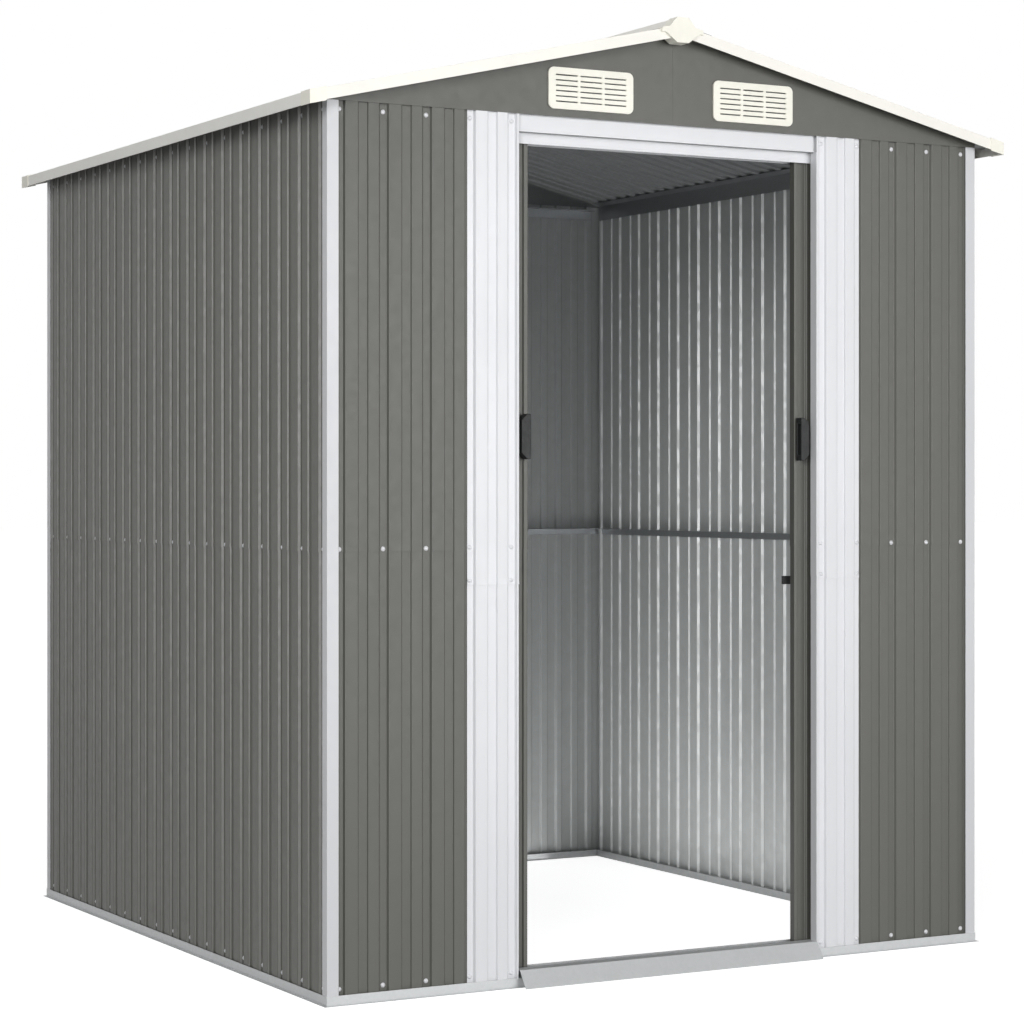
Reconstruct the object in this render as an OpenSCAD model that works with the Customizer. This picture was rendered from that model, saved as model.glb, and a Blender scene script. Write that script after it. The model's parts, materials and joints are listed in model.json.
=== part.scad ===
// Metal storage shed with a low gable roof and two sliding doors.
// X runs to the right, Y to the back and Z up, with the ground at Z = 0.
// The doors are drawn open, and each slides to the middle to shut.

/* [Frame] */
// Width over the corner posts
frame_w = 1800; // [1720:10:2400]
// Depth over the corner posts
frame_d = 1800; // [1500:10:2600]
// Height of the lower edge of the gables
wall_h = 1990; // [1900:5:2200]
// Gap between the top of the walls and the roof at the posts
wall_gap = 2.5; // [1:0.5:5]
// Width of the legs of the corner posts on the front and the back
post_leg = 28.5; // [26:0.5:36]
// Width of the legs of the corner posts on the sides
post_side = 24; // [20:0.5:36]
// Thickness of the corner posts
post_t = 1.2; // [0.8:0.1:1.2]
// Clearance between pieces that lie against each other
seat = 0.05; // [0.02:0.01:0.1]

/* [Sheets] */
// Thickness of the wall, door and roof sheets
sheet_t = 0.6; // [0.6:0.05:0.9]
// Distance from one wide groove to the next
rib_pitch = 108; // [96:0.5:130]
// Width of the wide groove at its mouth
groove_mouth = 25.5; // [22:0.5:34]
// Width of the wide groove at its bottom
groove_bottom = 17; // [12:0.5:20]
// Depth of the wide groove
groove_depth = 7; // [5:0.5:10]
// Distance from a wide groove to the far end of the step's floor
step_at = 67; // [60:0.5:72]
// Width of the slope that sinks to the step
step_run = 8; // [5:0.5:10]
// Width of the floor of the step
step_floor = 18; // [12:0.5:21]
// Width of the steep wall that ends the step
step_wall = 2.5; // [2:0.5:4]
// Depth of the step
step_depth = 4.8; // [2:0.1:6]
// Place of a groove to the right of the middle of the front panels
panel_phase = -2.5; // [-4:0.5:0]
// Place of a groove to the right of the middle of the left wall
left_phase = 0; // [-50:1:50]
// Place of a groove to the right of the middle of the right wall
right_phase = 27; // [-50:1:50]
// Place of a groove to the right of the middle of the back wall
back_phase = 7; // [-50:1:50]
// Height of the row of screws where the wall sheets lap
lap_z = 1002; // [900:1:1100]
// How far the upper sheet reaches below that row
lap_below = 6; // [4:1:20]
// How far the lower sheet reaches above that row
lap_above = 12; // [6:1:30]

/* [Base] */
// Thickness of the base rails
rail_t = 1.2; // [0.8:0.1:2]
// Height of the outer flange of the base rails
rail_h = 22; // [15:1:30]
// Height of the inner flange of the base rails
rail_in_h = 20; // [12:1:30]
// Distance from the outer face of the posts to the inner flange
rail_in = 26; // [20:1:40]
// Width of the lip at the foot of the outer flange
rail_lip = 7; // [3:1:15]

/* [Doorway] */
// Clear width between the two jambs
opening_w = 829; // [700:1:860]
// Width of each jamb sheet
jamb_w = 131.5; // [115:0.5:150]
// Gap between the fold of a jamb and the base rail's inner flange
jamb_clear = 1; // [0.5:0.5:5]
// How far a front panel reaches under its jamb
jamb_under = 11; // [8:1:11]
// How far the jamb lap lies below the wall lap
jamb_drop = 84; // [40:1:140]
// How far the lower jamb sheet reaches up under the upper one
jamb_lap = 92; // [20:1:120]
// How far the ramp reaches out in front of the posts
ramp_out = 30; // [20:1:60]
// Thickness of the ramp
ramp_t = 1; // [0.6:0.1:1.5]
// Clearance at each end of the ramp
ramp_gap = 0.4; // [0.2:0.1:2]

/* [Tracks] */
// Thickness of the door tracks
track_t = 1.2; // [0.8:0.1:2]
// Height of the floor track
track_h = 38; // [34:1:50]
// Distance from the gable's lower edge down to the head track's lower edge
head_drop = 64; // [45:1:120]
// Height of the lips of the head track
head_lip = 25; // [20:1:34]
// Gap between a door and each side of its track
run_gap = 5; // [4:0.5:8]

/* [Doors] */
// How far a shut door reaches behind its jamb
door_cover = 29.5; // [15:0.5:50]
// Gap between the two doors when they are shut
shut_gap = 5; // [4:0.5:10]
// Depth of the folds along the door edges
door_depth = 20; // [12:1:25]
// Width of the lip behind each door edge
door_lip = 12; // [6:1:20]
// How far an open door shows past its jamb
door_show = 42; // [36:1:60]
// Place of a groove from the leading edge of a door
door_phase = 75; // [60:1:90]
// Length of each glide
glide_w = 40; // [20:1:60]
// Height of the lower glides
glide_h = 12; // [8:1:20]
// Clearance between glides and tracks
glide_gap = 0.3; // [0.2:0.05:0.5]
// Depth of the head track above the top of a door
door_head = 7; // [5:0.5:10]

/* [Handles] */
// Width of a door handle
handle_w = 24; // [18:1:28]
// Height of a door handle
handle_h = 104; // [80:1:140]
// How far a handle stands out from its door
handle_out = 23; // [16:1:26]
// Distance of a handle from the leading edge of its door
handle_in = 5; // [2:0.5:8]
// Height of the middle of the handles
handle_z = 1255; // [1050:5:1400]
// Size of the cut corners on the outer edge of a handle
handle_cut = 14; // [6:0.5:16]
// Thickness of the plates before and behind the finger hole of a handle
handle_wall = 5; // [3:0.5:6]
// Height of the latch tongue
latch_h = 20; // [8:1:30]
// How far the latch tongue reaches past its door
latch_reach = 16; // [6:1:20]
// Thickness of the latch tongue
latch_t = 3; // [2:0.5:4]
// Height of the middle of the latch
latch_z = 913; // [700:1:1200]

/* [Roof] */
// Slope of the roof in degrees
roof_pitch = 12.85; // [11:0.05:18]
// Height of the roof sheets above the gable edge at the posts
roof_lift = 15.5; // [12:0.5:20]
// How far the roof reaches past the posts at the eaves
eave_over = 55; // [30:1:90]
// How far the roof reaches past the posts at the gables
verge_over = 38; // [30:1:80]
// Gap between the two roof sheets and the ridge line
ridge_gap = 8; // [4:1:15]
// Thickness of the trims
trim_t = 1.2; // [0.8:0.1:2]
// Height of the verge trims
verge_h = 26; // [18:1:45]
// Height of the eave trims
eave_h = 28; // [20:1:45]
// Width of the trim flange that lies on the roof
trim_flange = 25; // [15:1:40]
// Half the width of the ridge cap
ridge_half = 85; // [70:1:120]
// Half the width of the raised middle of the ridge cap
ridge_bump = 35; // [30:1:44]
// Half the width of the flat on the ridge cap
ridge_flat = 16; // [8:1:25]
// How far the middle of the ridge cap is raised
ridge_rise = 14; // [6:1:20]
// Thickness of the plastic caps
cap_t = 2; // [1.5:0.1:3]
// Width of the corner caps along the verge
cap_w = 40; // [34:1:60]
// Length of the corner caps along the eaves
cap_len = 45; // [30:1:70]
// Half the width of the ridge end caps
crest_half = 57; // [54:1:65]
// Height of the ridge end caps at their sides
crest_side = 10; // [6:0.5:12]
// How far the foot of a ridge end cap is drawn in at each side
crest_step = 11; // [6:1:14]
// How far the ridge end caps stand ahead of the verge trims
crest_front = 7; // [4:0.5:12]
// How far the ridge end caps reach back over the roof
crest_back = 27; // [15:1:35]
// How far the ridge end caps reach below the verge trims
crest_drop = 16; // [8:1:24]

/* [Gables] */
// Gap at the seam in the middle of each gable
seam = 0.2; // [0.1:0.1:1]
// Width of a vent
vent_w = 228; // [180:1:260]
// Height of a vent
vent_h = 96; // [80:1:110]
// Thickness of a vent
vent_t = 5; // [3:0.5:10]
// Radius of the corners of a vent
vent_r = 14; // [6:1:20]
// Distance of a vent from the middle of the gable
vent_x = 226; // [140:1:300]
// Height of the middle of the vents above the gable edge
vent_up = 65; // [56:1:100]
// Width of the vent rim above and below the slots
vent_rim = 16; // [10:1:20]
// Width of the vent rim beside the slots
vent_side = 19; // [10:1:24]
// Rows of slots in a vent
vent_rows = 6; // [3:1:8]
// Columns of slots in a vent
vent_cols = 3; // [2:1:4]
// Bar between two columns of slots
vent_bar = 6.5; // [4:0.5:10]
// Height of a slot
vent_slot = 3; // [2:0.25:5]

/* [Inner rails] */
// Thickness of the inner rails
bar_t = 1.2; // [0.8:0.1:2]
// Height of the mid rails
mid_h = 18; // [12:1:30]
// Depth of the mid rails
mid_depth = 20; // [12:1:30]
// Height of the top rails below the gable edge
top_h = 28; // [20:1:40]
// Depth of the top rails
top_depth = 28; // [15:1:40]
// Width of each flange of the ridge beam
beam_flange = 45; // [30:1:70]
// Half the width of the ridge beam
beam_half = 15; // [10:1:25]
// Height of the ridge beam
beam_h = 50; // [35:1:80]

/* [Hidden] */
$fn = 48;

// Each sheet lies one layer behind the one that laps over it
layer = sheet_t + seat;
jamb_upper_d = 0;
jamb_lower_d = layer;
upper_d = max(2 * layer, post_t + seat);
lower_d = upper_d + layer;

// Depth of the inner face of the wall sheets
upper_in = upper_d + groove_depth + sheet_t + seat;
lower_in = lower_d + groove_depth + sheet_t + seat;

// Top of the posts and wall sheets, and foot of what stands in the base rails
wall_top = wall_h + roof_lift - wall_gap;
wall_foot = rail_t + seat;
side_half = frame_d / 2 - lower_in - seat;
front_half = frame_w / 2 - post_t - seat;

// Doorway
opening_half = opening_w / 2;
jamb_edge = opening_half + jamb_w;
jamb_lap_z = lap_z - jamb_drop;
jamb_return = rail_in - jamb_clear;

// Tracks and doors, as depths behind the outer face of the posts
track_d0 = rail_in + rail_t + seat;
door_d0 = track_d0 + track_t + run_gap;
door_d1 = door_d0 + door_depth;
track_d1 = door_d1 + run_gap + track_t;
track_half = frame_w / 2 - rail_in - rail_t - seat;
head_half = frame_w / 2 - lower_in;
head_z = wall_h - head_drop;
head_web_z = head_z + head_lip;
door_x0 = opening_half - door_show;
door_w = opening_half + door_cover - shut_gap / 2;
door_foot = track_t + glide_gap + glide_h + seat;
door_top = head_web_z - door_head;

// Roof surfaces at a distance x from the ridge
roof_h = groove_depth + sheet_t;
roof_rise = roof_h / cos(roof_pitch);
function roof_under(x) = wall_h + roof_lift + (frame_w / 2 - abs(x)) * tan(roof_pitch);
function roof_top(x) = roof_under(x) + roof_rise;

// Height of a flange or cap laid on the roof, with one or two of them below it
trim_rise = trim_t / cos(roof_pitch);
function trim_z(x) = roof_top(x) + seat;
function over_trim_z(x) = trim_z(x) + trim_rise + seat;

// Ends of the roof
eave_x = frame_w / 2 + eave_over + roof_h * sin(roof_pitch) + seat;
verge_y = frame_d / 2 + verge_over;
verge_top = roof_h + seat + trim_t;
verge_end = (eave_x - trim_flange - 2 * seat - verge_top * sin(roof_pitch)) / cos(roof_pitch);

// Colours
grey = [0.45, 0.45, 0.43];
white = [0.92, 0.92, 0.93];
cream = [0.97, 0.96, 0.90];
zinc = [0.78, 0.79, 0.79];
black = [0.12, 0.12, 0.13];

// Signed distance from s to the nearest point of a row of pitch rib_pitch
function off_row(s, place) = s - place - rib_pitch * round((s - place) / rib_pitch);

// Depth of one groove at a distance x from its middle
function groove_at(x, mouth, bottom, depth) =
    abs(x) >= mouth / 2 ? 0 :
    abs(x) <= bottom / 2 ? depth :
    depth * (mouth / 2 - abs(x)) / (mouth / 2 - bottom / 2);

// Depth of a step at a distance x from the end of its floor
function step_sink(x) =
    x <= -step_floor - step_run || x >= step_wall ? 0 :
    x >= 0 ? step_depth * (1 - x / step_wall) :
    x >= -step_floor ? step_depth : step_depth * (1 + (x + step_floor) / step_run);

// Depth of the sheet's outer face at s, with a wide groove at place and a step beside it.
// A sheet that is turned (-1) has its steps the other way round.
function rib_at(s, place, turned) = max(
    groove_at(off_row(s, place), groove_mouth, groove_bottom, groove_depth),
    step_sink(turned * off_row(s, place + turned * step_at)));

// Places between s0 and s1 where the sheet bends
wide_bends = [-groove_mouth / 2, -groove_bottom / 2, groove_bottom / 2, groove_mouth / 2];
step_bends = [
    step_at - step_floor - step_run, step_at - step_floor, step_at, step_at + step_wall];
turned_bends = [for (i = [3 : -1 : 0]) -step_bends[i]];
function rib_bends(turned) =
    turned > 0 ? concat(wide_bends, step_bends) : concat(turned_bends, wide_bends);
function bends(s0, s1, place, turned) = [
    for (k = [floor((s0 - place) / rib_pitch) - 1 : ceil((s1 - place) / rib_pitch) + 1])
    for (bend = rib_bends(turned))
    let (s = place + k * rib_pitch + bend)
    if (s > s0 + seat && s < s1 - seat) s];

// Outline of a folded sheet from s0 to s1, as points of place and depth
function sheet_outline(s0, s1, place, depth, turned) =
    let (
        stops = concat([s0], bends(s0, s1, place, turned), [s1]),
        face = [for (s = stops) depth + rib_at(s, place, turned)],
        last = len(stops) - 1)
    concat(
        [for (i = [0 : last]) [stops[i], face[i]]],
        [for (i = [last : -1 : 0]) [stops[i], face[i] + sheet_t]]);

// Puts a piece of wall in its place: 0 front, 1 right, 2 back, 3 left.
// In a wall x runs to the right as seen from outside, and y is the depth.
module on_wall(side) {
    reach = side % 2 == 0 ? frame_d / 2 : frame_w / 2;
    rotate(90 * side) translate([0, -reach, 0]) children();
}

// Copies to the other half of the shed
module on_right(right) {
    mirror([right ? 0 : 1, 0, 0]) children();
}

// Extrudes a profile of x and z from y0 to y1
module along_y(y0, y1) {
    translate([0, y1, 0]) rotate([90, 0, 0]) linear_extrude(y1 - y0) children();
}

// Extrudes a profile of y and z from x0 to x1
module along_x(x0, x1) {
    translate([x0, 0, 0]) rotate([90, 0, 90]) linear_extrude(x1 - x0) children();
}

// A folded sheet that stands from z0 to z1
module sheet(s0, s1, place, depth, z0, z1, turned = 1) {
    translate([0, 0, z0]) linear_extrude(z1 - z0)
        polygon(sheet_outline(s0, s1, place, depth, turned));
}

// A strip of wall with mitred ends, for the base rails
module mitred_strip(half, d0, d1, height) {
    linear_extrude(height) polygon([
        [-(half - d0), d0], [half - d0, d0], [half - d1, d1], [-(half - d1), d1]]);
}

// A plate with round corners in x and z
module round_plate(w, h, r, t) {
    along_y(0, t) {
        square([w - 2 * r, h], center = true);
        square([w, h - 2 * r], center = true);
        for (x = [-1, 1]) for (z = [-1, 1])
            translate([x * (w / 2 - r), z * (h / 2 - r)]) circle(r);
    }
}

module base_rail(side) {
    half = (side % 2 == 0 ? frame_w : frame_d) / 2 - seat;
    color(zinc) on_wall(side) {
        mitred_strip(half, -seat - rail_t - rail_lip, rail_in + rail_t, rail_t);
        mitred_strip(half, -seat - rail_t, -seat, rail_h);
        mitred_strip(half, rail_in, rail_in + rail_t, rail_in_h);
    }
}

module floor_track() {
    color(zinc) on_wall(0) along_x(-track_half, track_half) {
        translate([track_d0, 0]) square([track_d1 - track_d0, track_t]);
        translate([track_d0, 0]) square([track_t, track_h]);
        translate([track_d1 - track_t, 0]) square([track_t, track_h]);
    }
}

module door_ramp() {
    half = opening_half - ramp_gap;
    top = track_h + seat;
    rear = track_d0 + track_t;
    front = -seat - rail_t - ramp_t;
    color(zinc) on_wall(0) along_x(-half, half) polygon([
        [-ramp_out, 0], [front, top + ramp_t], [rear, top + ramp_t],
        [rear, top], [front + ramp_t, top], [-ramp_out + ramp_t, 0]]);
}

module head_track() {
    color(white) on_wall(0) along_x(-head_half, head_half) {
        translate([upper_in, head_web_z]) square([track_t, wall_top - head_web_z]);
        translate([upper_in, head_web_z]) square([track_d1 - upper_in, track_t]);
        translate([track_d0, head_z]) square([track_t, head_lip + track_t]);
        translate([track_d1 - track_t, head_z]) square([track_t, head_lip + track_t]);
    }
}

module post(right, back) {
    x = frame_w / 2;
    y = frame_d / 2;
    color(white) mirror([right ? 0 : 1, 0, 0]) mirror([0, back ? 0 : 1, 0])
        translate([0, 0, wall_foot]) linear_extrude(wall_top - wall_foot) {
            translate([x - post_leg, y - post_t]) square([post_leg, post_t]);
            translate([x - post_t, y - post_side]) square([post_t, post_side]);
        }
}

module wall(side, half, place, upper) {
    color(grey) on_wall(side)
        if (upper) sheet(-half, half, place, upper_d, lap_z - lap_below, wall_top, -1);
        else sheet(-half, half, place, lower_d, wall_foot, lap_z + lap_above, -1);
}

module front_panel(right, upper) {
    inner = jamb_edge - jamb_under;
    s0 = right ? inner : -front_half;
    s1 = right ? front_half : -inner;
    color(grey) on_wall(0)
        if (upper) sheet(s0, s1, panel_phase, upper_d, lap_z - lap_below, wall_top);
        else sheet(s0, s1, panel_phase, lower_d, wall_foot, lap_z + lap_above);
}

module jamb(right, upper) {
    depth = upper ? jamb_upper_d : jamb_lower_d;
    edge = opening_half + depth;
    s0 = right ? edge : -jamb_edge;
    s1 = right ? jamb_edge : -edge;
    fold = right ? edge : -edge - sheet_t;
    z0 = upper ? jamb_lap_z : wall_foot;
    z1 = upper ? wall_top : jamb_lap_z + jamb_lap;
    color(white) on_wall(0) {
        sheet(s0, s1, 0, depth, z0, z1);
        translate([fold, depth, z0])
            cube([sheet_t, jamb_return - depth, min(z1, head_web_z - seat) - z0]);
    }
}

module gable(back, right) {
    half = frame_w / 2;
    flip = right == back ? -1 : 1;
    color(grey) on_wall(back ? 2 : 0) along_y(-seat - sheet_t, -seat)
        difference() {
            polygon([
                [flip * seam / 2, wall_h], [flip * half, wall_h],
                [flip * half, roof_under(half) - seat],
                [flip * seam / 2, roof_under(seam / 2) - seat]]);
            translate([flip * vent_x, wall_h + vent_up])
                square([vent_w - 2 * vent_side, vent_h - 2 * vent_rim], center = true);
        }
}

module vents(back) {
    depth = -2 * seat - sheet_t - vent_t;
    slot_w = (vent_w - 2 * vent_side - (vent_cols - 1) * vent_bar) / vent_cols;
    step = (vent_h - 2 * vent_rim - vent_slot) / (vent_rows - 1);
    color(cream) on_wall(back ? 2 : 0)
        for (flip = [-1, 1])
            translate([flip * vent_x, depth, wall_h + vent_up])
                difference() {
                    round_plate(vent_w, vent_h, vent_r, vent_t);
                    for (col = [0 : vent_cols - 1]) for (row = [0 : vent_rows - 1])
                        translate([
                            -vent_w / 2 + vent_side + col * (slot_w + vent_bar), -seat,
                            -vent_h / 2 + vent_rim + row * step])
                            cube([slot_w, vent_t + 2 * seat, vent_slot]);
                }
}

// Puts a piece on the slope, with x down the slope and z out of it
module on_slope(right) {
    on_right(right) translate([0, 0, roof_under(0)]) rotate([0, roof_pitch, 0]) children();
}

module roof(right) {
    reach = verge_y - trim_t - seat;
    outline = sheet_outline(-reach, reach, 0, 0, 1);
    color(grey) on_slope(right)
        along_x(ridge_gap, (frame_w / 2 + eave_over) / cos(roof_pitch))
            polygon([for (p = outline) [p[0], roof_h - p[1]]]);
}

module verge(right, back) {
    color(cream) difference() {
        on_slope(right) mirror([0, back ? 1 : 0, 0])
            along_x(ridge_gap, verge_end) {
                translate([-verge_y, verge_top - trim_t]) square([trim_flange, trim_t]);
                translate([-verge_y, verge_top - verge_h]) square([trim_t, verge_h]);
            }
        ridge_feet(seat);
    }
}

module eave_trims(right) {
    x0 = eave_x;
    x1 = eave_x + trim_t;
    xf = eave_x - trim_flange;
    foot = trim_z(x1) + trim_rise - eave_h;
    color(white) on_right(right)
        for (half = [[-verge_y, -seam / 2], [seam / 2, verge_y]])
            along_y(half[0], half[1]) polygon([
                [x1, foot], [x1, trim_z(x1) + trim_rise], [xf, trim_z(xf) + trim_rise],
                [xf, trim_z(xf)], [x0, trim_z(x0)], [x0, foot]]);
}

module corner_caps() {
    x1 = eave_x + trim_t + seat;
    x2 = x1 + cap_t;
    x0 = x2 - cap_w;
    rise = cap_t / cos(roof_pitch);
    drop = eave_h + trim_rise;
    color(cream) for (right = [false, true]) for (back = [0, 1])
        on_right(right) mirror([0, back, 0]) {
            along_y(-verge_y - seat - cap_t, -verge_y - seat) polygon([
                [x0, over_trim_z(x0) - drop], [x2, over_trim_z(x2) - drop],
                [x2, over_trim_z(x2) + rise], [x0, over_trim_z(x0) + rise]]);
            along_y(-verge_y - seat - cap_t, -verge_y + cap_len) polygon([
                [x1, over_trim_z(x1) - drop], [x2, over_trim_z(x2) - drop],
                [x2, over_trim_z(x2) + rise], [x0, over_trim_z(x0) + rise],
                [x0, over_trim_z(x0)], [x1, over_trim_z(x1)]]);
        }
}

// Upper outline of the ridge cap's raised middle, from left to right
ridge_crest = over_trim_z(0) + ridge_rise;
ridge_line = [
    [-ridge_bump, over_trim_z(ridge_bump)], [-ridge_flat, ridge_crest],
    [ridge_flat, ridge_crest], [ridge_bump, over_trim_z(ridge_bump)]];

// The points of a line, moved up and taken in turn or backwards
function raised(line, up) = [for (p = line) p + [0, up]];
function backwards(line) = [for (i = [len(line) - 1 : -1 : 0]) line[i]];

module ridge_cap() {
    line = concat([[-ridge_half, over_trim_z(ridge_half)]], ridge_line,
        [[ridge_half, over_trim_z(ridge_half)]]);
    color(grey) along_y(-verge_y, verge_y)
        polygon(concat(raised(line, sheet_t), backwards(line)));
}

// Right half of a ridge end cap's outline below its top
crest_z = over_trim_z(crest_half) + sheet_t + seat + cap_t - crest_side;
crest_low = roof_under(0) + (verge_top - verge_h) / cos(roof_pitch) - crest_drop;
crest_foot = crest_half - crest_step;
crest_slope = (crest_z - crest_low) / (crest_foot - ridge_flat);

// Where the side of its foot meets the underside of the roof
foot_x = (roof_under(0) - 2 * seat - crest_low + crest_slope * ridge_flat)
    / (crest_slope + tan(roof_pitch));

// The feet of both ridge end caps, which reach back under the roof
module ridge_feet(grow) {
    x0 = ridge_flat + grow;
    x1 = foot_x + 2 * grow;
    z0 = crest_low - grow;
    z1 = roof_under(foot_x) - 2 * seat + grow;
    z2 = roof_under(0) - 2 * seat + grow;
    for (back = [0, 1]) mirror([0, back, 0])
        along_y(-verge_y - crest_front, -verge_y + crest_back)
            polygon([[-x0, z0], [x0, z0], [x1, z1], [0, z2], [-x1, z1]]);
}

module ridge_end_caps() {
    side = over_trim_z(crest_half);
    line = concat([[-crest_half, side]], ridge_line, [[crest_half, side]]);
    inner = raised(line, sheet_t + seat);
    outer = raised(inner, cap_t);
    color(cream) {
        ridge_feet(0);
        for (back = [0, 1]) mirror([0, back, 0]) {
            along_y(-verge_y - crest_front, -verge_y + crest_back)
                polygon(concat(outer, backwards(inner)));
            along_y(-verge_y - crest_front, -verge_y - seat)
                polygon(concat(outer, [
                    [crest_half, crest_z], [crest_foot, crest_z], [ridge_flat, crest_low],
                    [-ridge_flat, crest_low], [-crest_foot, crest_z], [-crest_half, crest_z]]));
        }
    }
}

// A mid or top rail on a side wall, with x as the depth
module on_side(right, y0, y1) {
    on_right(!right) translate([-frame_w / 2, 0, 0]) along_y(y0, y1) children();
}

module mid_profile() {
    translate([lower_in, lap_z - mid_h / 2]) square([bar_t, mid_h]);
    translate([lower_in, lap_z + mid_h / 2 - bar_t]) square([mid_depth, bar_t]);
}

module side_mid_rail(right) {
    color(zinc) on_side(right, -side_half, side_half - mid_depth) mid_profile();
}

module back_mid_rail() {
    half = frame_w / 2 - lower_in;
    color(zinc) on_wall(2) along_x(-half, half) mid_profile();
}

module side_top_rail(right) {
    x0 = frame_w / 2 - upper_in;
    x1 = x0 - bar_t;
    x2 = x0 - top_depth;
    foot = wall_h - top_h;
    color(zinc) on_right(right) along_y(-frame_d / 2 + track_d1 + seat, side_half) polygon([
        [x0, foot], [x0, roof_under(x0) - seat], [x2, roof_under(x2) - seat],
        [x2, roof_under(x2) - seat - bar_t], [x1, roof_under(x1) - seat - bar_t], [x1, foot]]);
}

module back_top_rail() {
    half = frame_w / 2 - upper_in - top_depth - seat;
    color(zinc) on_wall(2) along_x(-half, half) {
        translate([upper_in, wall_h - top_h]) square([bar_t, top_h]);
        translate([upper_in, wall_h - bar_t]) square([top_depth, bar_t]);
    }
}

module ridge_beam() {
    top = roof_under(0) - seat;
    edge = roof_under(beam_flange) - seat;
    shoulder = roof_under(beam_half) - seat - bar_t;
    inside = beam_half - bar_t;
    foot = top - beam_h;
    color(zinc) along_y(-frame_d / 2, frame_d / 2) difference() {
        polygon([
            [-beam_flange, edge], [0, top], [beam_flange, edge],
            [beam_flange, edge - bar_t], [beam_half, shoulder], [beam_half, foot],
            [-beam_half, foot], [-beam_half, shoulder], [-beam_flange, edge - bar_t]]);
        polygon([
            [-inside, foot + bar_t], [inside, foot + bar_t],
            [inside, roof_under(inside) - seat - bar_t], [0, top - bar_t],
            [-inside, roof_under(inside) - seat - bar_t]]);
    }
}

// A door: two lapped sheets, each with a fold and a lip along both edges
module door(right) {
    x0 = door_x0;
    x1 = door_x0 + door_w;
    color(grey) on_right(right) on_wall(0)
        for (upper = [false, true]) {
            inset = upper ? 0 : layer;
            z0 = upper ? lap_z - lap_below : door_foot;
            z1 = upper ? door_top : lap_z + lap_above;
            s0 = x0 + inset;
            s1 = x1 - inset;
            rear = door_d1 - inset;
            sheet(s0, s1, x0 + door_phase, door_d0 + inset, z0, z1);
            translate([0, 0, z0]) linear_extrude(z1 - z0) {
                translate([s0, door_d0 + inset]) square([sheet_t, rear - door_d0 - inset]);
                translate([s1 - sheet_t, door_d0 + inset]) square([sheet_t, rear - door_d0 - inset]);
                translate([s0, rear - sheet_t]) square([door_lip, sheet_t]);
                translate([s1 - door_lip, rear - sheet_t]) square([door_lip, sheet_t]);
            }
        }
}

module door_glides(right) {
    depth = track_d0 + track_t + glide_gap;
    width = track_d1 - track_d0 - 2 * track_t - 2 * glide_gap;
    color(black) on_right(right) on_wall(0)
        for (x = [door_x0, door_x0 + door_w - glide_w]) {
            translate([x, depth, track_t + glide_gap]) cube([glide_w, width, glide_h]);
            translate([x, depth, door_top + seat])
                cube([glide_w, width, door_head - glide_gap - seat]);
        }
}

// A handle with a finger hole through it, and cut corners away from the leading edge
module handle(right) {
    w = handle_w / 2;
    h = handle_h / 2;
    cut = handle_cut;
    color(black) on_right(right) on_wall(0)
        translate([door_x0 + handle_in + w, door_d0 - seat - handle_out, handle_z])
            difference() {
                along_y(0, handle_out) polygon([
                    [-w, -h], [w - cut, -h], [w, cut - h], [w, h - cut], [w - cut, h], [-w, h]]);
                translate([-handle_w, handle_wall, cut - h])
                    cube([2 * handle_w, handle_out - 2 * handle_wall, 2 * (h - cut)]);
            }
}

// The tongue steps back so that it passes behind the other door
module door_latch() {
    foot = door_d1 - layer + seat;
    step = run_gap + latch_t;
    x0 = door_x0;
    color(black) on_wall(0) translate([0, 0, latch_z - latch_h / 2]) linear_extrude(latch_h) {
        translate([x0, foot]) square([door_lip, latch_t]);
        translate([x0, foot]) square([latch_t, step + latch_t]);
        translate([x0 - latch_reach, foot + step]) square([latch_reach + latch_t, latch_t]);
    }
}

base_rail(0);  // front_base_rail
base_rail(1);  // right_base_rail
base_rail(2);  // back_base_rail
base_rail(3);  // left_base_rail
floor_track();
door_ramp();
head_track();
post(false, false);  // front_left_post
post(true, false);  // front_right_post
post(true, true);  // back_right_post
post(false, true);  // back_left_post
wall(3, side_half, left_phase, false);  // left_wall_lower
wall(3, side_half, left_phase, true);  // left_wall_upper
wall(1, side_half, right_phase, false);  // right_wall_lower
wall(1, side_half, right_phase, true);  // right_wall_upper
wall(2, front_half, back_phase, false);  // back_wall_lower
wall(2, front_half, back_phase, true);  // back_wall_upper
front_panel(false, false);  // front_left_panel_lower
front_panel(false, true);  // front_left_panel_upper
front_panel(true, false);  // front_right_panel_lower
front_panel(true, true);  // front_right_panel_upper
jamb(false, false);  // left_jamb_lower
jamb(false, true);  // left_jamb_upper
jamb(true, false);  // right_jamb_lower
jamb(true, true);  // right_jamb_upper
gable(false, false);  // front_gable_left
gable(false, true);  // front_gable_right
gable(true, false);  // back_gable_left
gable(true, true);  // back_gable_right
vents(false);  // front_vents
vents(true);  // back_vents
roof(false);  // left_roof
roof(true);  // right_roof
ridge_cap();
ridge_end_caps();
verge(false, false);  // front_left_verge
verge(true, false);  // front_right_verge
verge(true, true);  // back_right_verge
verge(false, true);  // back_left_verge
eave_trims(false);  // left_eave_trims
eave_trims(true);  // right_eave_trims
corner_caps();
side_mid_rail(false);  // left_mid_rail
side_mid_rail(true);  // right_mid_rail
back_mid_rail();
side_top_rail(false);  // left_top_rail
side_top_rail(true);  // right_top_rail
back_top_rail();
ridge_beam();
door(false);  // left_door
door(true);  // right_door
door_glides(false);  // left_door_glides
door_glides(true);  // right_door_glides
handle(false);  // left_handle
handle(true);  // right_handle
door_latch();
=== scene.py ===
# %% [markdown]
# # Metal storage shed
# The shed is a flat-pack building of thin folded sheets on a light frame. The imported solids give
# every piece its place and size, in metres, with the front towards -Y. This script dresses them:
# sheets get real bend radii, trims get soft edges, and every finish gets its own nodes.

# %% Load the solids
import json
from math import radians

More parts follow.
